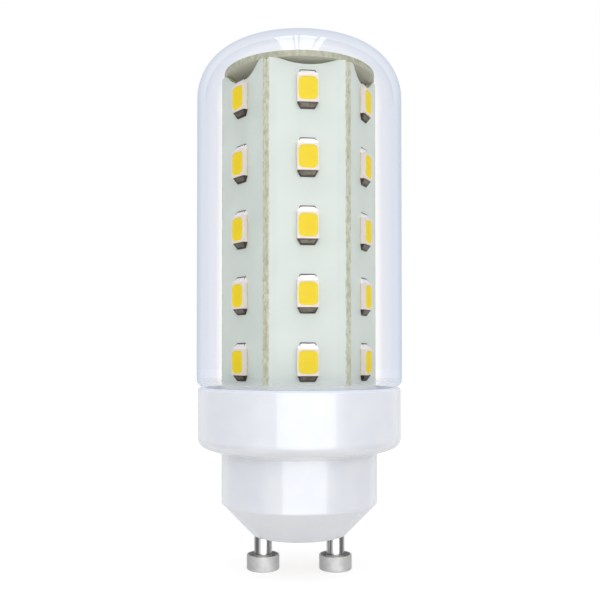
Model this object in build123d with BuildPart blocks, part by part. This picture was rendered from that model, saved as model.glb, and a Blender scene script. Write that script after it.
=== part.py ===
"""Tubular clear led lamp on a two-pin twist-lock base.

Millimetres, +Z up along the lamp, origin on the lamp's axis at the flat ends of the contact pins.
+X points from one pin to the other, and the light column's first board faces -Y, turned a little to +X.
"""

from build123d import *
from math import asin, cos, degrees, pi, radians, sin, sqrt, tan
import os

# Contact pins: a turned shank with a cup-shaped head, riveted in the base floor
pin_spacing = 10.0
pin_protrusion = 5.0
pin_shank_radius = 1.25
pin_head_radius = 2.25
pin_head_height = 2.1
pin_cup_radius = 2.05
pin_cup_floor_radius = 1.9
pin_cup_depth = 1.6
pin_foot_radius = 1.45
pin_foot_height = 0.55
pin_head_edge = 0.25
pin_rim_edge = 0.08
pin_rivet_radius = 1.9
pin_rivet_height = 0.4
pin_tail_height = 1.0
pin_bore_clearance = 0.03

# Base cap: flat floor, cone, neck and a sleeve that plugs up into the collar
floor_radius = 6.5
cone_height = 4.4
neck_radius = 10.75
neck_height = 6.75
base_wall = 1.5
floor_thickness = 1.6
base_edge = 0.3
sleeve_step = 0.45
sleeve_height = 2.6
boss_wall = 1.3
boss_height = 2.0

# Collar: outer wall, sloping underside, inner ring for the carrier, ribs under the cover
collar_step = 0.17
collar_height = 8.95
collar_wall = 1.13
collar_underside_rise = 1.1
collar_top_edge = 0.35
collar_bottom_edge = 1.5
collar_floor_thickness = 2.6
collar_ring_wall = 1.0
collar_ring_height = 3.25
rib_count = 8
rib_thickness = 1.0
rib_root = 0.05
sleeve_clearance = 0.1

# Clear cover: spigot, rounded shoulder, tube, knuckle and a flatter crown
cover_radius = 14.15
cover_wall = 1.1
cover_tube_height = 39.65
cover_shoulder_edge = 1.2
cover_inner_edge = 0.5
knuckle_radius = 7.2
crown_radius = 28.0
spigot_length = 4.5
spigot_clearance = 0.1

# Light column: six boards round a hexagon, each on the carrier ring and under the top disc
board_count = 6
column_clearance = 0.75
column_rise = 2.85
column_turn = 6.5
board_thickness = 0.8
board_joint_gap = 0.02
board_corner_cut = 0.39
ear_width = 1.5
ear_outer_edge = 0.6
ear_inner_edge = 0.9
shallow_arc_depth = 0.75
deep_arc_depth = 1.8
board_tab_width = 3.0
board_tab_end = 0.2
slot_clearance = 0.1

# Discs at the two ends of the column
disc_overhang = 0.96
disc_thickness = 0.75
carrier_thickness = 1.2
carrier_clearance = 0.15
carrier_opening_radius = 6.0

# Light emitters: a white package with a filled window, soldered at its two ends
emitter_count = 5
emitter_first_height = 8.0
emitter_last_gap = 4.02
package_width = 2.8
package_length = 3.5
package_height = 0.75
window_width = 2.5
window_length = 3.0
window_corner = 0.7
window_depth = 0.4
phosphor_recess = 0.03
phosphor_clearance = 0.01
solder_reach = 0.78
solder_inner_width = 2.7
solder_outer_width = 1.9
solder_inner_height = 0.55
solder_outer_height = 0.1

# Driver board on its ledge in the neck
driver_seat_height = 8.0
driver_thickness = 1.0
driver_clearance = 0.1
driver_ledge_width = 0.8
lead_radius = 0.3
lead_tail = 0.9
lead_hole_clearance = 0.1

# Upright parts on the driver board, each placed from the lamp's axis
capacitor_radius = 3.15
capacitor_height = 11.5
capacitor_edge = 0.5
capacitor_groove = 0.3
capacitor_groove_height = 1.4
capacitor_lead_pitch = 2.5
capacitor_y = -2.2
film_length = 7.2
film_depth = 3.0
film_height = 4.8
film_edge = 0.5
film_lead_pitch = 5.0
film_y = 4.6
inductor_radius = 2.25
inductor_height = 4.8
inductor_flange = 0.7
inductor_winding_radius = 2.0
inductor_lead_pitch = 2.5
inductor_x = -6.0
inductor_y = 0.6
resistor_radius = 1.2
resistor_waist_radius = 0.95
resistor_length = 5.0
resistor_cap_length = 1.1
resistor_lead_pitch = 6.8
resistor_bend = 0.6
resistor_x = 6.1

# Surface-mount parts under the driver board
rectifier_length = 4.7
rectifier_width = 3.9
rectifier_height = 2.2
rectifier_lead_pitch = 2.54
rectifier_lead_width = 0.7
rectifier_y = -5.0
chip_length = 4.9
chip_width = 3.9
chip_height = 1.5
chip_leads_per_side = 4
chip_lead_pitch = 1.27
chip_lead_width = 0.4
chip_y = 1.3
chip_edge = 0.15
lead_reach = 0.95
lead_thickness = 0.2

# Insulated wires
wire_radius = 0.4
wire_hole_clearance = 0.05
wire_pin_depth = 0.8
wire_tail = 0.5
wire_bend_share = 0.45
mains_wire_x = 4.6
mains_wire_y = 4.9
mains_wire_rise = 2.0
mains_wire_fall = 1.2
led_wire_x = 4.0
led_wire_y = -6.0
led_wire_end_x = 4.6
led_wire_end_y = -5.8
led_wire_low_run = 1.6
led_wire_high_run = 1.6

# Heights that follow from the sizes above
floor_z = pin_protrusion
neck_z = floor_z + cone_height
collar_z = neck_z + neck_height
collar_top_z = collar_z + collar_height
ring_top_z = collar_z + collar_ring_height
pocket_z = collar_z + collar_floor_thickness
rib_top_z = collar_top_z - spigot_length
sleeve_top_z = collar_z + sleeve_height
boss_top_z = floor_z + floor_thickness + boss_height
pin_end_z = boss_top_z + pin_rivet_height + pin_tail_height
tube_top_z = collar_top_z + cover_tube_height
carrier_top_z = ring_top_z + carrier_thickness
board_top_z = tube_top_z + column_rise
driver_z = floor_z + driver_seat_height
driver_top_z = driver_z + driver_thickness

# Radii that follow from the sizes above
sleeve_radius = neck_radius - sleeve_step
neck_bore_radius = neck_radius - base_wall
ledge_bore_radius = neck_bore_radius - driver_ledge_width
collar_bore_radius = sleeve_radius + sleeve_clearance
collar_ring_radius = collar_bore_radius + collar_ring_wall
collar_radius = cover_radius - collar_step
cover_seat_radius = collar_radius - collar_wall
spigot_radius = cover_seat_radius - spigot_clearance
spigot_bore_radius = spigot_radius - cover_wall
cover_bore_radius = cover_radius - cover_wall
carrier_radius = collar_ring_radius - carrier_clearance
pin_bore_radius = pin_shank_radius + pin_bore_clearance
wire_hole_radius = wire_radius + wire_hole_clearance
lead_hole_radius = lead_radius + lead_hole_clearance

# The column's corners clear the bore of the spigot that they stand in
half_turn = pi / board_count
column_apothem = (spigot_bore_radius - column_clearance) * cos(half_turn)
disc_radius = column_apothem + disc_overhang

# The boards meet in mitres at the column's corners, and each corner is cut off flat from face to face
board_inner_apothem = column_apothem - board_thickness
board_face_edge = column_apothem * tan(half_turn) - board_joint_gap / 2 - board_corner_cut
cut_corner_radius = column_apothem * cos(half_turn) + board_face_edge * sin(half_turn)
mitre_apothem = cut_corner_radius * cos(half_turn)
board_edge = mitre_apothem * tan(half_turn) - board_joint_gap / 2
board_inner_edge = board_inner_apothem * tan(half_turn) - board_joint_gap / 2
board_angles = [-90 + column_turn + 360 / board_count * k for k in range(board_count)]

# The emitters are spread evenly between the first and the last
first_emitter_z = carrier_top_z + emitter_first_height
last_emitter_z = board_top_z - emitter_last_gap
emitter_pitch = (last_emitter_z - first_emitter_z) / (emitter_count - 1)
emitter_heights = [first_emitter_z + emitter_pitch * k for k in range(emitter_count)]


def facing_plane(angle, distance):
    """Plane upright on a board's side: local x along the board, local y up, normal away from the lamp's axis."""
    outward = Vector(cos(radians(angle)), sin(radians(angle)), 0)
    along = Vector(-outward.Y, outward.X, 0)
    return Plane(origin=outward * distance, x_dir=along, z_dir=outward)


def plan_plane(angle, height):
    """Level plane on a board's side: local x away from the lamp's axis, local y along the board."""
    outward = Vector(cos(radians(angle)), sin(radians(angle)), 0)
    return Plane(origin=(0, 0, height), x_dir=outward, z_dir=(0, 0, 1))


def section_plane(x, y=0.0):
    """Upright plane for the half section of a piece turned about the vertical through (x, y)."""
    return Plane(origin=(x, y, 0), x_dir=(1, 0, 0), z_dir=(0, -1, 0))


def upright_axis(x, y=0.0):
    """Vertical axis through (x, y)."""
    return Axis((x, y, 0), (0, 0, 1))


def finish(piece, name):
    """Label a finished piece and write it to its own file."""
    piece.part.label = name
    export_step(piece.part, f"parts/{name}.step")


def make_cover():
    """Clear tube with a domed end, one wall thickness throughout."""
    crown_half_angle = degrees(asin((cover_radius - knuckle_radius) / (crown_radius - knuckle_radius)))
    knuckle_x = cover_radius - knuckle_radius
    crown_z = tube_top_z - (crown_radius - knuckle_radius) * cos(radians(crown_half_angle))
    inner_shoulder_z = collar_top_z + cover_wall
    with BuildPart() as clear_cover:
        with BuildSketch(Plane.XZ):
            with BuildLine():
                FilletPolyline(
                    (spigot_radius, rib_top_z),
                    (spigot_radius, collar_top_z),
                    (cover_radius, collar_top_z),
                    (cover_radius, tube_top_z),
                    radius=[0, cover_shoulder_edge],
                )
                CenterArc((knuckle_x, tube_top_z), knuckle_radius, 0, 90 - crown_half_angle)
                CenterArc((0, crown_z), crown_radius, 90 - crown_half_angle, crown_half_angle)
                Line((0, crown_z + crown_radius), (0, crown_z + crown_radius - cover_wall))
                CenterArc((0, crown_z), crown_radius - cover_wall, 90 - crown_half_angle, crown_half_angle)
                CenterArc((knuckle_x, tube_top_z), knuckle_radius - cover_wall, 0, 90 - crown_half_angle)
                FilletPolyline(
                    (cover_bore_radius, tube_top_z),
                    (cover_bore_radius, inner_shoulder_z),
                    (spigot_bore_radius, inner_shoulder_z),
                    (spigot_bore_radius, rib_top_z),
                    radius=[cover_inner_edge, cover_inner_edge],
                )
                Line((spigot_bore_radius, rib_top_z), (spigot_radius, rib_top_z))
            make_face()
        revolve(axis=Axis.Z)
    finish(clear_cover, "clear_cover")


def make_collar():
    """Collar moulding: outer wall, inner ring for the carrier, and ribs between them that stop the cover."""
    with BuildPart() as collar_housing:
        with BuildSketch(Plane.XZ):
            with BuildLine():
                FilletPolyline(
                    (collar_bore_radius, collar_z),
                    (neck_radius, collar_z),
                    (collar_radius, collar_z + collar_underside_rise),
                    (collar_radius, collar_top_z),
                    (cover_seat_radius, collar_top_z),
                    (cover_seat_radius, pocket_z),
                    (collar_ring_radius, pocket_z),
                    (collar_ring_radius, ring_top_z),
                    (collar_bore_radius, ring_top_z),
                    radius=[0, 0, collar_bottom_edge, collar_top_edge, 0, 0, 0, 0, 0],
                    close=True,
                )
            make_face()
        revolve(axis=Axis.Z)
        rib_length = cover_seat_radius - collar_ring_radius + 2 * rib_root
        rib_middle = (cover_seat_radius + collar_ring_radius) / 2
        with BuildSketch(Plane.XY.offset(pocket_z - rib_root)):
            with PolarLocations(rib_middle, rib_count):
                Rectangle(rib_length, rib_thickness)
        extrude(amount=rib_top_z - pocket_z + rib_root)
    finish(collar_housing, "collar_housing")


def make_base():
    """Base moulding: outer cone and neck, inner cone of the same slope, driver ledge and two pin bosses."""
    slope = (neck_radius - floor_radius) / cone_height
    wall_across = base_wall * sqrt(1 + slope * slope)
    inner_floor_z = floor_z + floor_thickness
    inner_floor_radius = floor_radius + floor_thickness * slope - wall_across
    inner_neck_z = inner_floor_z + (ledge_bore_radius - inner_floor_radius) / slope
    with BuildPart() as base_cap:
        with BuildSketch(Plane.XZ):
            with BuildLine():
                FilletPolyline(
                    (0, floor_z),
                    (floor_radius, floor_z),
                    (neck_radius, neck_z),
                    (neck_radius, collar_z),
                    (sleeve_radius, collar_z),
                    (sleeve_radius, sleeve_top_z),
                    (neck_bore_radius, sleeve_top_z),
                    (neck_bore_radius, driver_z),
                    (ledge_bore_radius, driver_z),
                    (ledge_bore_radius, inner_neck_z),
                    (inner_floor_radius, inner_floor_z),
                    (0, inner_floor_z),
                    radius=[0, base_edge, base_edge, 0, 0, 0, 0, 0, 0, 0, 0, 0],
                    close=True,
                )
            make_face()
        revolve(axis=Axis.Z)
        with BuildSketch(Plane.XY.offset(inner_floor_z)):
            with GridLocations(pin_spacing, 0, 2, 1):
                Circle(pin_bore_radius + boss_wall)
        extrude(amount=boss_height)
        with Locations((0, 0, boss_top_z)):
            with GridLocations(pin_spacing, 0, 2, 1):
                Hole(pin_bore_radius, depth=boss_top_z - floor_z)
    finish(base_cap, "base_cap")


def make_pin(name, x):
    """Turned pin: a cup open upwards round the stepped shank, a rivet over the floor and a wire bore."""
    cup_z = pin_head_height - pin_cup_depth
    foot_z = cup_z + pin_foot_height
    rivet_z = boss_top_z + pin_rivet_height
    with BuildPart() as contact_pin:
        with BuildSketch(section_plane(x)):
            with BuildLine():
                FilletPolyline(
                    (0, 0),
                    (pin_head_radius, 0),
                    (pin_head_radius, pin_head_height),
                    (pin_cup_radius, pin_head_height),
                    (pin_cup_floor_radius, cup_z),
                    (pin_foot_radius, cup_z),
                    (pin_foot_radius, foot_z),
                    (pin_shank_radius, foot_z),
                    (pin_shank_radius, boss_top_z),
                    (pin_rivet_radius, boss_top_z),
                    (pin_rivet_radius, rivet_z),
                    (pin_shank_radius, rivet_z),
                    (pin_shank_radius, pin_end_z),
                    (wire_hole_radius, pin_end_z),
                    (wire_hole_radius, pin_end_z - wire_pin_depth),
                    (0, pin_end_z - wire_pin_depth),
                    radius=[0, pin_head_edge, pin_rim_edge, 0, 0, 0, 0, 0, 0, 0, 0, 0, 0, 0, 0, 0],
                    close=True,
                )
            make_face()
        revolve(axis=upright_axis(x))
    finish(contact_pin, name)


def make_board(name, angle, arc_depth):
    """Mitred board with a tab in the carrier's slot, two rounded ears and a hollow arc between them."""
    arc_end = board_edge - ear_width
    tab = board_tab_width / 2
    tab_z = ring_top_z - board_tab_end
    with BuildPart() as led_board:
        with BuildSketch(facing_plane(angle, board_inner_apothem)) as outline:
            with BuildLine():
                ThreePointArc(
                    (-arc_end, board_top_z), (0, board_top_z - arc_depth), (arc_end, board_top_z)
                )
                Polyline(
                    (arc_end, board_top_z),
                    (board_edge, board_top_z),
                    (board_edge, carrier_top_z),
                    (tab, carrier_top_z),
                    (tab, tab_z),
                    (-tab, tab_z),
                    (-tab, carrier_top_z),
                    (-board_edge, carrier_top_z),
                    (-board_edge, board_top_z),
                    (-arc_end, board_top_z),
                )
            make_face()
            ears = outline.vertices().group_by(Axis.Y)[-1].sort_by(Axis.X)
            fillet([ears[0], ears[-1]], ear_outer_edge)
            inner_ears = outline.vertices().group_by(Axis.Y)[-1].sort_by(lambda v: abs(v.X))[:2]
            fillet(inner_ears, ear_inner_edge)
        extrude(amount=board_thickness)
        with BuildSketch(plan_plane(angle, tab_z)):
            with BuildLine():
                Polyline(
                    (board_inner_apothem, -board_inner_edge),
                    (mitre_apothem, -board_edge),
                    (column_apothem, -board_face_edge),
                    (column_apothem, board_face_edge),
                    (mitre_apothem, board_edge),
                    (board_inner_apothem, board_inner_edge),
                    close=True,
                )
            make_face()
        extrude(amount=board_top_z - tab_z, mode=Mode.INTERSECT)
    finish(led_board, name)


def make_top_disc():
    """Round board that lies on the ears of the column's boards."""
    with BuildPart() as top_disc:
        with BuildSketch(Plane.XY.offset(board_top_z)):
            Circle(disc_radius)
        extrude(amount=disc_thickness)
    finish(top_disc, "top_disc")


def make_carrier():
    """Ring board in the collar with a slot for each board's tab and two holes for the supply wires."""
    slot_middle = (column_apothem + board_inner_apothem) / 2
    with BuildPart() as carrier_ring:
        with BuildSketch(Plane.XY.offset(ring_top_z)):
            Circle(carrier_radius)
            Circle(carrier_opening_radius, mode=Mode.SUBTRACT)
            with PolarLocations(slot_middle, board_count, start_angle=board_angles[0]):
                Rectangle(
                    board_thickness + 2 * slot_clearance,
                    board_tab_width + 2 * slot_clearance,
                    mode=Mode.SUBTRACT,
                )
            with Locations((led_wire_end_x, led_wire_end_y), (-led_wire_end_x, led_wire_end_y)):
                Circle(wire_hole_radius, mode=Mode.SUBTRACT)
        extrude(amount=carrier_thickness)
    finish(carrier_ring, "carrier_ring")


def make_packages(name, angle):
    """Row of emitter packages on one board, each with a rounded window sunk into its face."""
    with BuildPart() as packages:
        with BuildSketch(facing_plane(angle, column_apothem)):
            with Locations([(0, height) for height in emitter_heights]):
                Rectangle(package_width, package_length)
        extrude(amount=package_height)
        with BuildSketch(facing_plane(angle, column_apothem + package_height)):
            with Locations([(0, height) for height in emitter_heights]):
                RectangleRounded(window_width, window_length, window_corner)
        extrude(amount=-window_depth, mode=Mode.SUBTRACT)
    finish(packages, name)


def make_phosphors(name, angle):
    """Row of window fills on one board, just below the faces of their packages."""
    window_floor = column_apothem + package_height - window_depth
    with BuildPart() as phosphors:
        with BuildSketch(facing_plane(angle, window_floor)):
            with Locations([(0, height) for height in emitter_heights]):
                RectangleRounded(
                    window_width - 2 * phosphor_clearance,
                    window_length - 2 * phosphor_clearance,
                    window_corner - phosphor_clearance,
                )
        extrude(amount=window_depth - phosphor_recess)
    finish(phosphors, name)


def make_solder(name, angle):
    """Two solder fillets for each emitter on one board, sloping and narrowing away from the package."""
    inner = package_length / 2
    outer = inner + solder_reach
    board_face = facing_plane(angle, column_apothem)
    with BuildPart() as solder:
        for height in emitter_heights:
            for side in (-1, 1):
                near_face = Plane(
                    origin=board_face.from_local_coords((0, height + side * inner, 0)),
                    x_dir=board_face.x_dir,
                    z_dir=board_face.y_dir * side,
                )
                rise = near_face.to_local_coords(near_face.origin + board_face.z_dir).Y
                far_face = near_face.offset(solder_reach)
                with BuildSketch(near_face):
                    with Locations((0, rise * solder_inner_height / 2)):
                        Rectangle(solder_inner_width, solder_inner_height)
                with BuildSketch(far_face):
                    with Locations((0, rise * solder_outer_height / 2)):
                        Rectangle(solder_outer_width, solder_outer_height)
                loft(ruled=True)
    finish(solder, name)


def make_driver_board():
    """Round board on the neck's ledge, with holes for the leads and the wires."""
    lead_places = [
        (-capacitor_lead_pitch / 2, capacitor_y),
        (capacitor_lead_pitch / 2, capacitor_y),
        (-film_lead_pitch / 2, film_y),
        (film_lead_pitch / 2, film_y),
        (inductor_x, inductor_y - inductor_lead_pitch / 2),
        (inductor_x, inductor_y + inductor_lead_pitch / 2),
        (resistor_x, -resistor_lead_pitch / 2),
        (resistor_x, resistor_lead_pitch / 2),
    ]
    wire_places = [(side * mains_wire_x, mains_wire_y) for side in (-1, 1)]
    wire_places += [(side * led_wire_x, led_wire_y) for side in (-1, 1)]
    with BuildPart() as driver_board:
        with BuildSketch(Plane.XY.offset(driver_z)):
            Circle(neck_bore_radius - driver_clearance)
            with Locations(lead_places):
                Circle(lead_hole_radius, mode=Mode.SUBTRACT)
            with Locations(wire_places):
                Circle(wire_hole_radius, mode=Mode.SUBTRACT)
        extrude(amount=driver_thickness)
    finish(driver_board, "driver_board")


def add_leads(x, y, pitch, along_y=False):
    """Two straight leads from a part's seat down through the driver board."""
    across = (0, pitch, 1, 2) if along_y else (pitch, 0, 2, 1)
    with BuildSketch(Plane.XY.offset(driver_top_z)) as leads:
        with Locations((x, y)):
            with GridLocations(*across):
                Circle(lead_radius)
    extrude(leads.sketch, amount=-(driver_thickness + lead_tail))


def make_capacitor():
    """Upright can capacitor with a rolled groove above its foot, and its two leads."""
    groove_z = driver_top_z + capacitor_groove_height
    top_z = driver_top_z + capacitor_height
    with BuildPart() as smoothing_capacitor:
        with BuildSketch(section_plane(0, capacitor_y)):
            with BuildLine():
                FilletPolyline(
                    (0, driver_top_z),
                    (capacitor_radius, driver_top_z),
                    (capacitor_radius, groove_z - capacitor_groove),
                    (capacitor_radius - capacitor_groove, groove_z),
                    (capacitor_radius, groove_z + capacitor_groove),
                    (capacitor_radius, top_z),
                    (0, top_z),
                    radius=[0, capacitor_edge / 2, 0, 0, 0, capacitor_edge, 0],
                    close=True,
                )
            make_face()
        revolve(axis=upright_axis(0, capacitor_y))
        add_leads(0, capacitor_y, capacitor_lead_pitch)
    finish(smoothing_capacitor, "smoothing_capacitor")


def make_film_capacitor():
    """Box-shaped film capacitor with rounded upright edges, and its two leads."""
    with BuildPart() as film_capacitor:
        with BuildSketch(Plane.XY.offset(driver_top_z)):
            with Locations((0, film_y)):
                RectangleRounded(film_length, film_depth, film_edge)
        extrude(amount=film_height)
        chamfer(film_capacitor.faces().sort_by(Axis.Z)[-1].edges(), film_edge / 2)
        add_leads(0, film_y, film_lead_pitch)
    finish(film_capacitor, "film_capacitor")


def make_inductor():
    """Drum core with two flanges and a full winding between them, and its two leads."""
    top_z = driver_top_z + inductor_height
    with BuildPart() as inductor:
        with BuildSketch(section_plane(inductor_x, inductor_y)):
            with BuildLine():
                Polyline(
                    (0, driver_top_z),
                    (inductor_radius, driver_top_z),
                    (inductor_radius, driver_top_z + inductor_flange),
                    (inductor_winding_radius, driver_top_z + inductor_flange),
                    (inductor_winding_radius, top_z - inductor_flange),
                    (inductor_radius, top_z - inductor_flange),
                    (inductor_radius, top_z),
                    (0, top_z),
                    close=True,
                )
            make_face()
        revolve(axis=upright_axis(inductor_x, inductor_y))
        add_leads(inductor_x, inductor_y, inductor_lead_pitch, along_y=True)
    finish(inductor, "inductor")


def make_resistor():
    """Axial resistor lying on the board, swollen at its end caps, with leads bent down through the board."""
    axis_z = driver_top_z + resistor_radius
    half = resistor_length / 2
    cap_end = half - resistor_cap_length
    slant = resistor_radius - resistor_waist_radius
    lead_end_z = driver_z - lead_tail
    lead_y = resistor_lead_pitch / 2
    body_plane = Plane(origin=(resistor_x, 0, axis_z), x_dir=(0, 1, 0), z_dir=(1, 0, 0))
    with BuildPart() as fusible_resistor:
        with BuildSketch(body_plane):
            with BuildLine():
                FilletPolyline(
                    (-half, 0),
                    (-half, resistor_radius),
                    (-cap_end, resistor_radius),
                    (slant - cap_end, resistor_waist_radius),
                    (cap_end - slant, resistor_waist_radius),
                    (cap_end, resistor_radius),
                    (half, resistor_radius),
                    (half, 0),
                    radius=[0, slant, 0, 0, 0, 0, slant, 0],
                    close=True,
                )
            make_face()
        revolve(axis=Axis((resistor_x, 0, axis_z), (0, 1, 0)))
        with BuildLine():
            FilletPolyline(
                (resistor_x, -lead_y, lead_end_z),
                (resistor_x, -lead_y, axis_z),
                (resistor_x, lead_y, axis_z),
                (resistor_x, lead_y, lead_end_z),
                radius=resistor_bend,
            )
        with BuildSketch(Plane(origin=(resistor_x, -lead_y, lead_end_z), z_dir=(0, 0, 1))):
            Circle(lead_radius)
        sweep()
    finish(fusible_resistor, "fusible_resistor")


def add_flat_leads(y, body_width, pitch, per_side, width):
    """Flat leads that lie on the board's underside and run out from both sides of a body."""
    reach = body_width / 2 + lead_reach
    with BuildSketch(Plane.XY.offset(driver_z)) as leads:
        with Locations((0, y)):
            with GridLocations(0, pitch, 1, per_side):
                Rectangle(2 * reach, width)
    extrude(leads.sketch, amount=-lead_thickness)


def make_rectifier():
    """Bridge rectifier under the driver board, a moulded block with four flat leads."""
    with BuildPart() as bridge_rectifier:
        with BuildSketch(Plane.XY.offset(driver_z)):
            with Locations((0, rectifier_y)):
                Rectangle(rectifier_width, rectifier_length)
        extrude(amount=-rectifier_height)
        chamfer(bridge_rectifier.faces().sort_by(Axis.Z)[0].edges(), chip_edge)
        add_flat_leads(rectifier_y, rectifier_width, rectifier_lead_pitch, 2, rectifier_lead_width)
    finish(bridge_rectifier, "bridge_rectifier")


def make_chip():
    """Driver chip under the board, a moulded block with eight flat leads."""
    with BuildPart() as driver_chip:
        with BuildSketch(Plane.XY.offset(driver_z)):
            with Locations((0, chip_y)):
                Rectangle(chip_width, chip_length)
        extrude(amount=-chip_height)
        chamfer(driver_chip.faces().sort_by(Axis.Z)[0].edges(), chip_edge)
        add_flat_leads(chip_y, chip_width, chip_lead_pitch, chip_leads_per_side, chip_lead_width)
    finish(driver_chip, "driver_chip")


def largest_bends(points):
    """Bend radius at each inner corner of a route, as large as the runs beside it allow."""
    runs = [(Vector(*b) - Vector(*a)) for a, b in zip(points, points[1:])]
    turns = [radians(a.get_angle(b)) for a, b in zip(runs, runs[1:])]
    shorter = [min(a.length, b.length) for a, b in zip(runs, runs[1:])]
    return [wire_bend_share * run / tan(turn / 2) for run, turn in zip(shorter, turns)]


def make_wire(name, points):
    """Round wire swept along straight runs joined by tangent arcs."""
    bends = largest_bends(points)
    print(name, "bend radii", [round(bend, 2) for bend in bends])
    start_direction = Vector(*points[1]) - Vector(*points[0])
    with BuildPart() as wire:
        with BuildLine():
            FilletPolyline(*points, radius=bends)
        with BuildSketch(Plane(origin=points[0], z_dir=start_direction)):
            Circle(wire_radius)
        sweep()
    finish(wire, name)


def make_mains_wire(name, side):
    """Supply wire from the bore in a pin's tail, round and up through the driver board."""
    pin_x = side * pin_spacing / 2
    hole_x = side * mains_wire_x
    start_z = pin_end_z - wire_pin_depth
    points = [
        (pin_x, 0, start_z),
        (pin_x, 0, start_z + mains_wire_rise),
        (hole_x, mains_wire_y, driver_z - mains_wire_fall),
        (hole_x, mains_wire_y, driver_top_z + wire_tail),
    ]
    make_wire(name, points)


def make_led_wire(name, side):
    """Wire from the driver board up to the carrier ring, with a slight bend outwards."""
    low_x = side * led_wire_x
    high_x = side * led_wire_end_x
    points = [
        (low_x, led_wire_y, driver_z - wire_tail),
        (low_x, led_wire_y, driver_top_z + led_wire_low_run),
        (high_x, led_wire_end_y, ring_top_z - led_wire_high_run),
        (high_x, led_wire_end_y, carrier_top_z + wire_tail),
    ]
    make_wire(name, points)


os.makedirs("parts", exist_ok=True)

make_cover()
make_collar()
make_base()
make_pin("contact_pin_left", -pin_spacing / 2)
make_pin("contact_pin_right", pin_spacing / 2)
make_top_disc()
make_carrier()
for number, angle in enumerate(board_angles, start=1):
    # Boards with a shallow arc and a deep one take turns round the column
    arc_depth = shallow_arc_depth if number % 2 else deep_arc_depth
    make_board(f"led_board_{number}", angle, arc_depth)
    make_packages(f"led_packages_{number}", angle)
    make_phosphors(f"led_phosphors_{number}", angle)
    make_solder(f"led_solder_{number}", angle)
make_driver_board()
make_capacitor()
make_film_capacitor()
make_inductor()
make_resistor()
make_rectifier()
make_chip()
make_mains_wire("live_wire", 1)
make_mains_wire("neutral_wire", -1)
make_led_wire("led_positive_wire", 1)
make_led_wire("led_negative_wire", -1)
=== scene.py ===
"""Looks, light and camera for the tubular clear led lamp. Metres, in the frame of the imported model."""

import math

import bpy
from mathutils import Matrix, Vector


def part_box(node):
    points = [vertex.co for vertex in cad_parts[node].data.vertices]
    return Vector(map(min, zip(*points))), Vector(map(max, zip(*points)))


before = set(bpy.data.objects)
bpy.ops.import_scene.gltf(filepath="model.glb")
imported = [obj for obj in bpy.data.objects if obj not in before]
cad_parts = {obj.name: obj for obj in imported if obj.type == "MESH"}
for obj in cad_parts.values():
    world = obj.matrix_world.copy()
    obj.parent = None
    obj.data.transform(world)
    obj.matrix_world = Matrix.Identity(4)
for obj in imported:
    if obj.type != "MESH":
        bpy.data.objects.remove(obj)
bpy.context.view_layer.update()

MM = 0.001

# Light column: six boards, each with a row of emitters
BOARD_COUNT = 6
EMITTER_COUNT = 5
PACKAGE_LENGTH = 3.5
WINDOW_WIDTH = 2.5
WINDOW_LENGTH = 3.0
SOLDER_REACH = 0.78
SOLDER_HALF_WIDTH = 1.35
SOLDER_NARROWING = 0.4
BOARD_FACE_DISTANCE = 9.44
BOARD_FACE_EDGE = 5.05

# Clear cover: the height where the tube turns into the dome, and how much each wall surface shows
TUBE_TOP = 64.75
CROWN_SHARE = 0.72
INNER_WALL_SHARE = 0.14
FACING_MIRROR = 0.010
CROWN_MIRROR = 0.065
GRAZING_MIRROR = 0.8
FOOT_PAINTED_HAZE = 0.44

# Collar's top, and the top of the cup heads of the pins
COLLAR_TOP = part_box("collar_housing")[1].z / MM
PIN_HEAD_TOP = 2.1

# World light from the front and from the sides, and gloss with darker sides
FRONT_LIGHT = 0.84
SIDE_LIGHT = 1.22
GLOSS_LIGHT = 0.9
DARK_SIDE_DROP = 0.7

# The first board faces from -Y a little towards +X
packages_low, packages_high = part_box("led_packages_1")
COLUMN_TURN = math.atan2(packages_low.y + packages_high.y, packages_low.x + packages_high.x)
FIRST_EMITTER = packages_low.z / MM + PACKAGE_LENGTH / 2
EMITTER_PITCH = ((packages_high.z - packages_low.z) / MM - PACKAGE_LENGTH) / (EMITTER_COUNT - 1)


def srgb(red, green, blue):
    """Linear colour with alpha from an 8-bit display colour."""
    def linear(value):
        value /= 255
        return value / 12.92 if value <= 0.04045 else ((value + 0.055) / 1.055) ** 2.4
    return (linear(red), linear(green), linear(blue), 1.0)


def add(tree, kind, inputs=None, **settings):
    """New node with its settings, and with each input linked to a socket or set to a value."""
    node = tree.nodes.new(kind)
    for name, value in settings.items():
        setattr(node, name, value)
    for key, value in (inputs or {}).items():
        if isinstance(value, bpy.types.NodeSocket):
            tree.links.new(value, node.inputs[key])
        else:
            node.inputs[key].default_value = value
    return node


def calc(tree, operation, *values):
    """Output of a Math node."""
    return add(tree, "ShaderNodeMath", dict(enumerate(values)), operation=operation).outputs[0]


def blend(tree, factor, first, second):
    """Colour that goes from the first to the second as the factor goes from 0 to 1."""
    return add(tree, "ShaderNodeMix", {0: factor, 6: first, 7: second}, data_type="RGBA").outputs[2]


def ramp(tree, value, low, high, first=0.0, last=1.0):
    """Value taken smoothly from one range to another, and held at its ends."""
    return add(tree, "ShaderNodeMapRange",
               {"Value": value, "From Min": low, "From Max": high, "To Min": first, "To Max": last},
               interpolation_type="SMOOTHSTEP").outputs[0]


def noise(tree, position, scale, detail=2.0, roughness=0.5):
    """Noise over a position in millimetres, with the scale in cells per millimetre."""
    return add(tree, "ShaderNodeTexNoise",
               {"Vector": position, "Scale": scale, "Detail": detail, "Roughness": roughness}).outputs[0]


def bump(tree, height, distance, strength=1.0, normal=None):
    """Normal raised by a height, with the distance in millimetres."""
    inputs = {"Height": height, "Distance": distance * MM, "Strength": strength}
    if normal is not None:
        inputs["Normal"] = normal
    return add(tree, "ShaderNodeBump", inputs).outputs[0]


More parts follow.
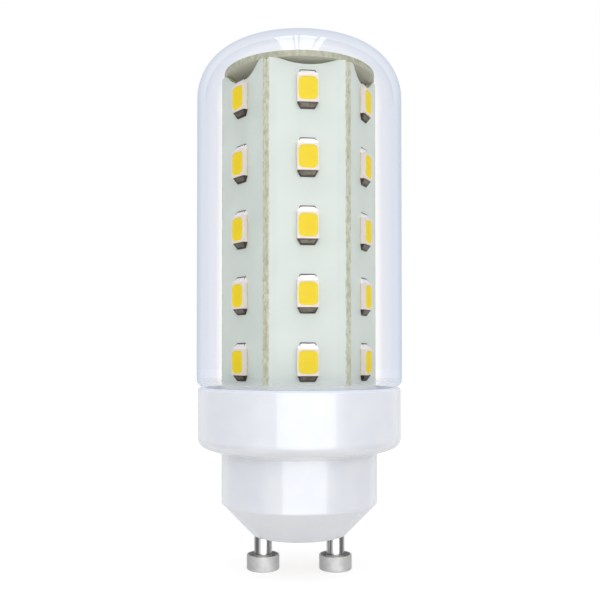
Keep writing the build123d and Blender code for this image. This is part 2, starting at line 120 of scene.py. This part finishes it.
def millimetres(tree):
    """Object position in millimetres."""
    position = add(tree, "ShaderNodeTexCoord").outputs["Object"]
    return add(tree, "ShaderNodeVectorMath", {0: position, "Scale": 1 / MM}, operation="SCALE").outputs[0]


def new_material(name):
    """Material with an empty tree, and its output node."""
    material = bpy.data.materials.new(name)
    material.use_nodes = True
    material.node_tree.nodes.clear()
    output = material.node_tree.nodes.new("ShaderNodeOutputMaterial")
    return material, material.node_tree, output


def principled(tree, output, **inputs):
    """Principled shader linked to the output; underscores in names stand for spaces."""
    values = {key.replace("_", " "): value for key, value in inputs.items()}
    shader = add(tree, "ShaderNodeBsdfPrincipled", values)
    tree.links.new(shader.outputs[0], output.inputs["Surface"])
    return shader


def dress(material, *nodes):
    """Give CAD nodes one material."""
    for name in nodes:
        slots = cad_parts[name].data.materials
        slots.clear()
        slots.append(material)


def column_nodes(kind):
    """Names of the nodes of one kind, one for each board."""
    return [f"led_{kind}_{number}" for number in range(1, BOARD_COUNT + 1)]


def make_emitter_grid():
    """Node group: millimetres from the nearest emitter's centre, and how far the surface faces out."""
    group = bpy.data.node_groups.new("EmitterGrid", "ShaderNodeTree")
    for name in ("Along", "Up", "Out", "Facing"):
        group.interface.new_socket(name, in_out="OUTPUT", socket_type="NodeSocketFloat")
    output = group.nodes.new("NodeGroupOutput")
    half_side = math.pi / BOARD_COUNT
    x, y, z = add(group, "ShaderNodeSeparateXYZ", {0: millimetres(group)}).outputs
    bearing = calc(group, "SUBTRACT", calc(group, "ARCTAN2", y, x), COLUMN_TURN)
    offset = calc(group, "WRAP", bearing, half_side, -half_side)
    radius = calc(group, "SQRT", calc(group, "ADD", calc(group, "MULTIPLY", x, x),
                                      calc(group, "MULTIPLY", y, y)))
    along = calc(group, "MULTIPLY", radius, calc(group, "SINE", offset))
    out = calc(group, "MULTIPLY", radius, calc(group, "COSINE", offset))
    up = calc(group, "WRAP", calc(group, "SUBTRACT", z, FIRST_EMITTER),
              EMITTER_PITCH / 2, -EMITTER_PITCH / 2)
    side = calc(group, "SUBTRACT", calc(group, "ARCTAN2", y, x), offset)
    nx, ny, _ = add(group, "ShaderNodeSeparateXYZ",
                     {0: add(group, "ShaderNodeNewGeometry").outputs["True Normal"]}).outputs
    facing = calc(group, "ADD", calc(group, "MULTIPLY", nx, calc(group, "COSINE", side)),
                  calc(group, "MULTIPLY", ny, calc(group, "SINE", side)))
    for name, value in (("Along", along), ("Up", up), ("Out", out), ("Facing", facing)):
        group.links.new(value, output.inputs[name])
    return group


def emitter_grid(tree):
    """Outputs of the emitter grid in a material: Along, Up, Out and Facing."""
    return add(tree, "ShaderNodeGroup", node_tree=grid_group).outputs


def clear_plastic():
    """Clear cover: thin clear wall that mirrors and takes a faint blue tint where the view grazes it."""
    material, tree, output = new_material("clear_plastic")
    position = millimetres(tree)
    x, y, z = add(tree, "ShaderNodeSeparateXYZ", {0: position}).outputs
    geometry = add(tree, "ShaderNodeNewGeometry").outputs
    above = calc(tree, "MAXIMUM", calc(tree, "SUBTRACT", z, TUBE_TOP), 0.0)
    dome = ramp(tree, z, TUBE_TOP - 0.5, TUBE_TOP)

    # The wall's outer surface does most of the work; its inner surface only shows faintly in the dome
    swell = add(tree, "ShaderNodeCombineXYZ", {0: x, 1: y, 2: above}).outputs[0]
    swelling = add(tree, "ShaderNodeVectorMath", {0: geometry["True Normal"], 1: swell},
                   operation="DOT_PRODUCT").outputs["Value"]
    turned = calc(tree, "MULTIPLY_ADD", geometry["Backfacing"], -2.0, 1.0)
    outer = calc(tree, "GREATER_THAN", calc(tree, "MULTIPLY", swelling, turned), 0.0)
    inner_share = calc(tree, "MULTIPLY", dome, INNER_WALL_SHARE)
    outer_share = calc(tree, "MULTIPLY", outer, ramp(tree, above, 0.5, 4.0, 1.0, CROWN_SHARE))
    share = calc(tree, "MAXIMUM", outer_share, inner_share)

    # Below the dome the rounded foot of the tube shades like the straight wall over it
    upright = add(tree, "ShaderNodeCombineXYZ", {0: 1.0, 1: 1.0, 2: dome}).outputs[0]
    level = add(tree, "ShaderNodeVectorMath", {0: geometry["Normal"], 1: upright},
                operation="MULTIPLY").outputs[0]
    facing_normal = add(tree, "ShaderNodeVectorMath", {0: level}, operation="NORMALIZE").outputs[0]
    graze = add(tree, "ShaderNodeLayerWeight", {"Blend": 0.5, "Normal": facing_normal}).outputs["Facing"]

    clear_white = (1.0, 1.0, 1.0, 1.0)
    tint = blend(tree, ramp(tree, graze, 0.34, 0.44), clear_white, srgb(244, 245, 249))
    tint = blend(tree, ramp(tree, graze, 0.42, 0.62), tint, srgb(239, 242, 248))
    tint = blend(tree, ramp(tree, graze, 0.66, 0.92), tint, srgb(224, 232, 243))
    tint = blend(tree, share, clear_white, tint)
    facing_mirror = ramp(tree, above, 1.2, 2.4, FACING_MIRROR, CROWN_MIRROR)
    mirror = calc(tree, "MULTIPLY_ADD", calc(tree, "POWER", graze, 5.0), GRAZING_MIRROR, facing_mirror)
    mirror = calc(tree, "MULTIPLY", mirror, share)
    clear = add(tree, "ShaderNodeBsdfTransparent", {"Color": tint})
    waves = bump(tree, noise(tree, position, 0.12, 1.0), 0.02, 0.35)
    gloss = add(tree, "ShaderNodeBsdfGlossy",
                {"Color": (0.95, 0.96, 1.0, 1.0), "Roughness": 0.02, "Normal": waves})
    shell = add(tree, "ShaderNodeMixShader", {0: mirror, 1: clear.outputs[0], 2: gloss.outputs[0]})

    # The moulding's foot, where it meets the collar, is painted milky white: painted light that hides the
    # shade of the collar's pocket seen through it
    cloudy = noise(tree, position, 0.9, 2.0)
    foot = ramp(tree, calc(tree, "MULTIPLY_ADD", cloudy, 0.3, z),
                COLLAR_TOP + 0.3, COLLAR_TOP + 1.6, FOOT_PAINTED_HAZE, 0.0)
    painted_light_haze = add(tree, "ShaderNodeBsdfDiffuse", {"Color": srgb(248, 250, 254)})
    shell = add(tree, "ShaderNodeMixShader",
                {0: calc(tree, "MULTIPLY", foot, outer), 1: shell.outputs[0], 2: painted_light_haze.outputs[0]})

    # Shadow and diffuse rays pass almost unhindered, so the column stays light
    through = add(tree, "ShaderNodeBsdfTransparent", {"Color": (0.985, 0.988, 0.994, 1.0)})
    path = add(tree, "ShaderNodeLightPath").outputs
    unseen = calc(tree, "MAXIMUM", path["Is Shadow Ray"], path["Is Diffuse Ray"])
    mix = add(tree, "ShaderNodeMixShader", {0: unseen, 1: shell.outputs[0], 2: through.outputs[0]})
    tree.links.new(mix.outputs[0], output.inputs["Surface"])
    return material


def white_plastic(name, color, shade):
    """Glossy white moulding with a fine moulded grain and a faint unevenness."""
    material, tree, output = new_material(name)
    position = millimetres(tree)
    cloud = noise(tree, position, 0.25, 3.0)
    fine = noise(tree, position, 9.0, 3.0)
    surface = bump(tree, fine, 0.004, 0.5, bump(tree, noise(tree, position, 0.3, 1.0), 0.03, 0.3))

    # The collar's upper edge, where it meets the cover, is painted grey as the shade of the gap there; it is
    # also rougher and has no coat
    coat = 0.9
    z = add(tree, "ShaderNodeSeparateXYZ", {0: position}).outputs[2]
    edge = ramp(tree, z, COLLAR_TOP - 0.34, COLLAR_TOP - 0.14)
    body = blend(tree, ramp(tree, cloud, 0.35, 0.65), color, shade)
    principled(tree, output,
               Base_Color=blend(tree, edge, body, srgb(214, 217, 226)),
               Roughness=calc(tree, "MULTIPLY_ADD", edge, 0.4, ramp(tree, fine, 0.3, 0.7, 0.20, 0.27)),
               IOR=1.5, Coat_Weight=calc(tree, "MULTIPLY_ADD", edge, -coat, coat), Coat_Roughness=0.03,
               Normal=surface)
    return material


def nickel():
    """Nickel plate over fine turning marks, glossy on the shanks and rough on the cup heads."""
    material, tree, output = new_material("nickel_pin")
    position = millimetres(tree)
    z = add(tree, "ShaderNodeSeparateXYZ", {0: position}).outputs[2]
    radians_per_mm = 95.0
    marks = calc(tree, "SINE", calc(tree, "MULTIPLY", z, radians_per_mm))
    cloud = noise(tree, position, 0.8, 3.0)
    head_roughness = 0.78
    shank_roughness = 0.14
    plate_roughness = ramp(tree, z, PIN_HEAD_TOP - 0.1, PIN_HEAD_TOP + 0.1, head_roughness, shank_roughness)
    principled(tree, output,
               Base_Color=blend(tree, ramp(tree, cloud, 0.3, 0.7), srgb(216, 216, 214), srgb(206, 205, 203)),
               Metallic=1.0,
               Roughness=calc(tree, "ADD", ramp(tree, cloud, 0.3, 0.7, 0.0, 0.05), plate_roughness),
               Normal=bump(tree, marks, 0.004, 0.25))
    return material


def raw_laminate(tree, position):
    """Colour of a cut laminate edge: beige green with glass layers and brown specks."""
    x, y, z = add(tree, "ShaderNodeSeparateXYZ", {0: position}).outputs
    low_z = calc(tree, "MULTIPLY", z, 0.35)
    stretched = add(tree, "ShaderNodeCombineXYZ", {0: x, 1: y, 2: low_z}).outputs[0]
    layers = noise(tree, stretched, 3.5, 4.0, 0.6)
    specks = noise(tree, position, 1.3, 4.0, 0.65)
    base = blend(tree, ramp(tree, layers, 0.3, 0.7), srgb(217, 217, 198), srgb(184, 183, 152))
    return blend(tree, ramp(tree, specks, 0.56, 0.70, 0.0, 0.55), base, srgb(160, 142, 108))


def board_mask():
    """Board of the column: mint white solder mask, chipped along its raw edges."""
    material, tree, output = new_material("board_laminate")
    position = millimetres(tree)
    grid = emitter_grid(tree)
    cloud = noise(tree, position, 0.22, 3.0)
    fine = noise(tree, position, 6.0, 3.0)
    white = blend(tree, ramp(tree, cloud, 0.3, 0.7), srgb(218, 226, 216), srgb(212, 220, 210))

    # The cut corners are raw, and the mask is chipped a little along them
    deepest_chip = 0.42
    clear_of_edge = 0.11
    chips = calc(tree, "MULTIPLY", noise(tree, position, 1.1, 4.0, 0.7), deepest_chip)
    to_edge = calc(tree, "SUBTRACT", BOARD_FACE_EDGE + clear_of_edge, calc(tree, "ABSOLUTE", grid["Along"]))
    whole = ramp(tree, calc(tree, "SUBTRACT", to_edge, chips), -0.03, 0.05)
    masked = calc(tree, "MULTIPLY", ramp(tree, grid["Facing"], 0.9, 0.97), whole)
    principled(tree, output,
               Base_Color=blend(tree, masked, raw_laminate(tree, position), white),
               Roughness=ramp(tree, fine, 0.3, 0.7, 0.38, 0.5), IOR=1.5,
               Normal=bump(tree, fine, 0.006, 0.4))
    return material


def disc_mask():
    """Discs: the same mask on both faces and a raw rim."""
    material, tree, output = new_material("disc_laminate")
    position = millimetres(tree)
    normal = add(tree, "ShaderNodeNewGeometry").outputs["True Normal"]
    nz = calc(tree, "ABSOLUTE", add(tree, "ShaderNodeSeparateXYZ", {0: normal}).outputs[2])
    cloud = noise(tree, position, 0.22, 3.0)
    fine = noise(tree, position, 6.0, 3.0)
    white = blend(tree, ramp(tree, cloud, 0.3, 0.7), srgb(230, 230, 220), srgb(222, 221, 210))
    color = blend(tree, ramp(tree, nz, 0.6, 0.8), raw_laminate(tree, position), white)
    surface = principled(tree, output, Base_Color=color,
                         Roughness=ramp(tree, fine, 0.3, 0.7, 0.38, 0.5), IOR=1.5,
                         Normal=bump(tree, fine, 0.006, 0.4))

    # Glass laminate lets some light through, so the underside isn't black
    light_through = 0.34
    glow = add(tree, "ShaderNodeBsdfTranslucent", {"Color": color})
    mix = add(tree, "ShaderNodeMixShader", {0: light_through, 1: surface.outputs[0], 2: glow.outputs[0]})
    tree.links.new(mix.outputs[0], output.inputs["Surface"])
    return material


def package_plastic():
    """Emitter package: pinkish cream moulding, browner at its foot on the board."""
    material, tree, output = new_material("emitter_package")
    position = millimetres(tree)
    out = emitter_grid(tree)["Out"]
    fine = noise(tree, position, 7.0, 3.0)
    cream = blend(tree, ramp(tree, fine, 0.3, 0.7), srgb(240, 229, 219), srgb(233, 221, 210))
    height = calc(tree, "SUBTRACT", out, BOARD_FACE_DISTANCE)
    foot_wander = calc(tree, "MULTIPLY_ADD", noise(tree, position, 1.6, 2.0), 0.22, -0.02)
    foot_browning = 0.45
    foot = ramp(tree, calc(tree, "SUBTRACT", height, foot_wander), 0.0, 0.08, foot_browning, 0.0)
    principled(tree, output,
               Base_Color=blend(tree, foot, cream, srgb(190, 160, 138)),
               Roughness=ramp(tree, fine, 0.3, 0.7, 0.38, 0.46), IOR=1.5,
               Normal=bump(tree, fine, 0.006, 0.4))
    return material


def phosphor():
    """Window fill: yellow silicone, more amber in the middle, with fine phosphor grains."""
    material, tree, output = new_material("phosphor")
    position = millimetres(tree)
    grid = emitter_grid(tree)
    across = calc(tree, "DIVIDE", grid["Along"], WINDOW_WIDTH / 2)
    height = calc(tree, "DIVIDE", grid["Up"], WINDOW_LENGTH / 2)
    middle = calc(tree, "SQRT", calc(tree, "ADD", calc(tree, "MULTIPLY", across, across),
                                     calc(tree, "MULTIPLY", height, height)))
    grains = noise(tree, position, 14.0, 3.0, 0.6)
    base = blend(tree, ramp(tree, middle, 0.25, 0.95), srgb(249, 216, 16), srgb(250, 222, 14))
    principled(tree, output,
               Base_Color=blend(tree, ramp(tree, grains, 0.3, 0.75, 0.0, 0.35), base, srgb(246, 206, 12)),
               Roughness=ramp(tree, grains, 0.3, 0.7, 0.45, 0.6), IOR=1.41, Specular_IOR_Level=0.25,
               Normal=bump(tree, grains, 0.01, 0.35))
    return material


def solder():
    """Solder fillets: painted bright above each package as a painted reflection of light, and painted dark
    brown below it as a painted dark reflection.
    """
    material, tree, output = new_material("solder")
    position = millimetres(tree)
    grid = emitter_grid(tree)
    along = grid["Along"]
    up = grid["Up"]
    lower = ramp(tree, up, 0.2, -0.2)
    reach = calc(tree, "SUBTRACT", calc(tree, "ABSOLUTE", up), PACKAGE_LENGTH / 2)
    half_width = calc(tree, "SUBTRACT", SOLDER_HALF_WIDTH,
                      calc(tree, "MULTIPLY", reach, SOLDER_NARROWING / SOLDER_REACH))
    side_gap = calc(tree, "SUBTRACT", half_width, calc(tree, "ABSOLUTE", along))
    end_gap = calc(tree, "SUBTRACT", SOLDER_REACH, reach)
    uneven = calc(tree, "MULTIPLY_ADD", noise(tree, position, 1.8, 3.0), 0.16, -0.08)
    edge_gap = calc(tree, "ADD", calc(tree, "MINIMUM", side_gap, end_gap), uneven)
    cloud = noise(tree, position, 2.2, 3.0)
    worn = ramp(tree, cloud, 0.35, 0.7)

    # Below the package: painted shade, the dark reflection the fillet faces: an olive middle in a dark brown
    # rim, which is wider beside the package
    shaded_middle = blend(tree, worn, srgb(128, 124, 104), srgb(98, 94, 80))
    shaded_rim = ramp(tree, edge_gap, 0.16, 0.30, 1.0, 0.0)
    root = ramp(tree, reach, 0.04, 0.14, 1.0, 0.0)
    painted_dark_solder = blend(tree, calc(tree, "MAXIMUM", shaded_rim, root), shaded_middle, srgb(70, 54, 55))

    # Above it: pinkish white, a painted reflection of the light above, with a thin dark rim round its far
    # end
    lit_middle = blend(tree, worn, srgb(244, 238, 236), srgb(232, 226, 224))
    far_top = calc(tree, "MULTIPLY", ramp(tree, grid["Facing"], 0.2, 0.4), ramp(tree, reach, 0.30, 0.45))
    side_rim = ramp(tree, calc(tree, "ADD", side_gap, uneven), 0.10, 0.20, 1.0, 0.0)
    side_rim = calc(tree, "MULTIPLY", side_rim, far_top)
    end_rim = ramp(tree, calc(tree, "ADD", end_gap, uneven), 0.12, 0.22, 1.0, 0.0)
    lit_rim = calc(tree, "MAXIMUM", side_rim, end_rim)
    painted_bright_solder = blend(tree, lit_rim, lit_middle, srgb(88, 72, 74))
    principled(tree, output,
               Base_Color=blend(tree, lower, painted_bright_solder, painted_dark_solder),
               Metallic=0.3, Roughness=ramp(tree, cloud, 0.3, 0.7, 0.36, 0.48),
               Specular_IOR_Level=0.3, Normal=bump(tree, cloud, 0.02, 0.35))
    return material


def small_part(name, color, shade, roughness):
    """Plain finish of an inner part, with a mottled colour and a fine grain."""
    material, tree, output = new_material(name)
    position = millimetres(tree)
    cloud = noise(tree, position, 3.0, 4.0, 0.6)
    principled(tree, output,
               Base_Color=blend(tree, ramp(tree, cloud, 0.3, 0.7), color, shade),
               Roughness=ramp(tree, cloud, 0.3, 0.7, roughness, roughness + 0.1),
               Normal=bump(tree, cloud, 0.01, 0.4))
    return material


grid_group = make_emitter_grid()

dress(clear_plastic(), "clear_cover")
dress(white_plastic("white_housing", srgb(240, 241, 245), srgb(236, 238, 243)), "collar_housing")
dress(white_plastic("white_base", srgb(240, 241, 245), srgb(236, 238, 243)), "base_cap")
dress(nickel(), "contact_pin_left", "contact_pin_right")
dress(board_mask(), *column_nodes("board"))
dress(disc_mask(), "top_disc", "carrier_ring")
dress(package_plastic(), *column_nodes("packages"))
dress(phosphor(), *column_nodes("phosphors"))
dress(solder(), *column_nodes("solder"))
dress(small_part("driver_laminate", srgb(206, 208, 182), srgb(190, 194, 164), 0.5), "driver_board")
dress(small_part("black_moulding", srgb(40, 40, 42), srgb(30, 30, 32), 0.5),
      "bridge_rectifier", "driver_chip")
dress(small_part("capacitor_sleeve", srgb(44, 48, 62), srgb(36, 39, 50), 0.3), "smoothing_capacitor")
dress(small_part("film_case", srgb(196, 92, 56), srgb(184, 82, 48), 0.35), "film_capacitor")
dress(small_part("ferrite", srgb(86, 80, 80), srgb(66, 62, 62), 0.55), "inductor")
dress(small_part("resistor_lacquer", srgb(136, 176, 166), srgb(122, 162, 152), 0.35), "fusible_resistor")
dress(small_part("wire_brown", srgb(120, 74, 48), srgb(108, 66, 42), 0.4), "live_wire")
dress(small_part("wire_blue", srgb(60, 104, 176), srgb(52, 94, 164), 0.4), "neutral_wire")
dress(small_part("wire_red", srgb(186, 44, 38), srgb(172, 38, 34), 0.4), "led_positive_wire")
dress(small_part("wire_black", srgb(40, 40, 42), srgb(32, 32, 34), 0.4), "led_negative_wire")


def make_world():
    """White to the camera, darker at the sides in gloss, and as light a plain level, more at the sides."""
    world = bpy.data.worlds.new("studio")
    bpy.context.scene.world = world
    world.use_nodes = True
    tree = world.node_tree
    tree.nodes.clear()
    path = add(tree, "ShaderNodeLightPath").outputs
    direction = add(tree, "ShaderNodeTexCoord").outputs["Generated"]
    across, back, _ = add(tree, "ShaderNodeSeparateXYZ", {0: direction}).outputs
    sideways = calc(tree, "ABSOLUTE", across)
    light_level = ramp(tree, sideways, 0.35, 0.9, FRONT_LIGHT, SIDE_LIGHT)
    dark_side = calc(tree, "MULTIPLY", ramp(tree, sideways, 0.70, 0.84),
                     ramp(tree, back, 0.0, 0.9, 1.0, 0.0))
    gloss_level = calc(tree, "MULTIPLY", calc(tree, "MULTIPLY_ADD", dark_side, -DARK_SIDE_DROP, GLOSS_LIGHT),
                       ramp(tree, back, 0.1, 0.7, 1.0, 0.9))
    seen = calc(tree, "MAXIMUM", path["Is Camera Ray"], path["Is Transmission Ray"])
    white = add(tree, "ShaderNodeBackground", {"Color": (1.0, 1.0, 1.0, 1.0), "Strength": 1.0})
    soft = add(tree, "ShaderNodeBackground", {"Color": (0.90, 0.93, 1.0, 1.0), "Strength": light_level})
    gloss = add(tree, "ShaderNodeBackground", {"Color": (0.95, 0.97, 1.0, 1.0), "Strength": gloss_level})
    unseen = add(tree, "ShaderNodeMixShader",
                 {0: path["Is Glossy Ray"], 1: soft.outputs[0], 2: gloss.outputs[0]})
    mix = add(tree, "ShaderNodeMixShader", {0: seen, 1: unseen.outputs[0], 2: white.outputs[0]})
    add(tree, "ShaderNodeOutputWorld", {"Surface": mix.outputs[0]})


def make_floor():
    """Plain floor, white to the camera but for a soft shadow, and pale grey as it bounces light."""
    size = 4.0
    bpy.ops.mesh.primitive_plane_add(size=size, location=(0, 0, 0))
    floor = bpy.context.object
    floor.name = "floor"
    material, tree, output = new_material("floor_white")
    path = add(tree, "ShaderNodeLightPath").outputs
    seen = calc(tree, "MAXIMUM", path["Is Camera Ray"],
                calc(tree, "MAXIMUM", path["Is Transmission Ray"], path["Is Glossy Ray"]))
    bounce = add(tree, "ShaderNodeBsdfDiffuse", {"Color": (0.66, 0.64, 0.585, 1.0)})
    shaded = add(tree, "ShaderNodeBsdfDiffuse", {"Color": (0.35, 0.35, 0.35, 1.0)})
    glow = add(tree, "ShaderNodeEmission", {"Color": (1.0, 0.985, 0.965, 1.0), "Strength": 0.73})
    shown = add(tree, "ShaderNodeAddShader", {0: shaded.outputs[0], 1: glow.outputs[0]})
    mix = add(tree, "ShaderNodeMixShader", {0: seen, 1: bounce.outputs[0], 2: shown.outputs[0]})
    tree.links.new(mix.outputs[0], output.inputs["Surface"])
    floor.data.materials.append(material)
    floor.visible_glossy = False


def softbox(name, bearing, elevation, distance, width, height, radiance):
    """Area light aimed at the lamp's middle. Bearing 0 is in front, on -Y, and grows towards +X."""
    lamp = bpy.data.lights.new(name, "AREA")
    lamp.shape = "RECTANGLE"
    lamp.size = width
    lamp.size_y = height
    lamp.energy = radiance * math.pi * width * height
    light = bpy.data.objects.new(name, lamp)
    bpy.context.scene.collection.objects.link(light)
    aim_height = 0.037
    middle = Vector((0, 0, aim_height))
    turn = math.radians(bearing)
    lift = math.radians(elevation)
    away = Vector((math.sin(turn) * math.cos(lift), -math.cos(turn) * math.cos(lift), math.sin(lift)))
    light.location = middle + away * distance
    light.rotation_euler = (-away).to_track_quat("-Z", "Y").to_euler()
    return light


def make_lights():
    """A softbox in front and one above, each split into soft light and gloss; the upper has four panes."""
    pane_places_and_widths = ((-0.075, 0.08), (-0.0145, 0.017), (0.0435, 0.081), (0.1135, 0.035))
    softbox("front fill", 8, 2, 0.65, 0.8, 0.95, 0.62).visible_glossy = False
    softbox("front card", 8, 2, 0.6, 0.75, 0.9, 2.0).visible_diffuse = False
    softbox("top fill", 0, 79, 0.55, 0.25, 0.36, 3.0).visible_glossy = False
    for place, width in pane_places_and_widths:
        pane = softbox("top pane", 0, 79, 0.5, width, 0.36, 3.4)
        pane.visible_diffuse = False
        pane.location.x += place


def make_camera():
    """Camera in front at the collar's height, tilted up a little and shifted so that the lamp fits."""
    distance = 0.1145
    beside = 0.0001
    eye_height = 0.0292
    tilt_up = 1.08
    pixels_per_mm = 7.2
    frame_pixels = 600
    shift_pixels = 42
    sensor_width = 36.0
    camera = bpy.data.cameras.new("camera")
    camera.sensor_width = sensor_width
    camera.lens = pixels_per_mm * distance / MM / frame_pixels * sensor_width
    camera.shift_y = shift_pixels / frame_pixels
    camera.clip_start = 0.005
    holder = bpy.data.objects.new("camera", camera)
    bpy.context.scene.collection.objects.link(holder)
    holder.location = (beside, -distance, eye_height)
    holder.rotation_euler = (math.radians(90 + tilt_up), 0, 0)
    bpy.context.scene.camera = holder


make_world()
make_floor()
make_lights()
make_camera()
bpy.context.scene.view_settings.view_transform = "Standard"
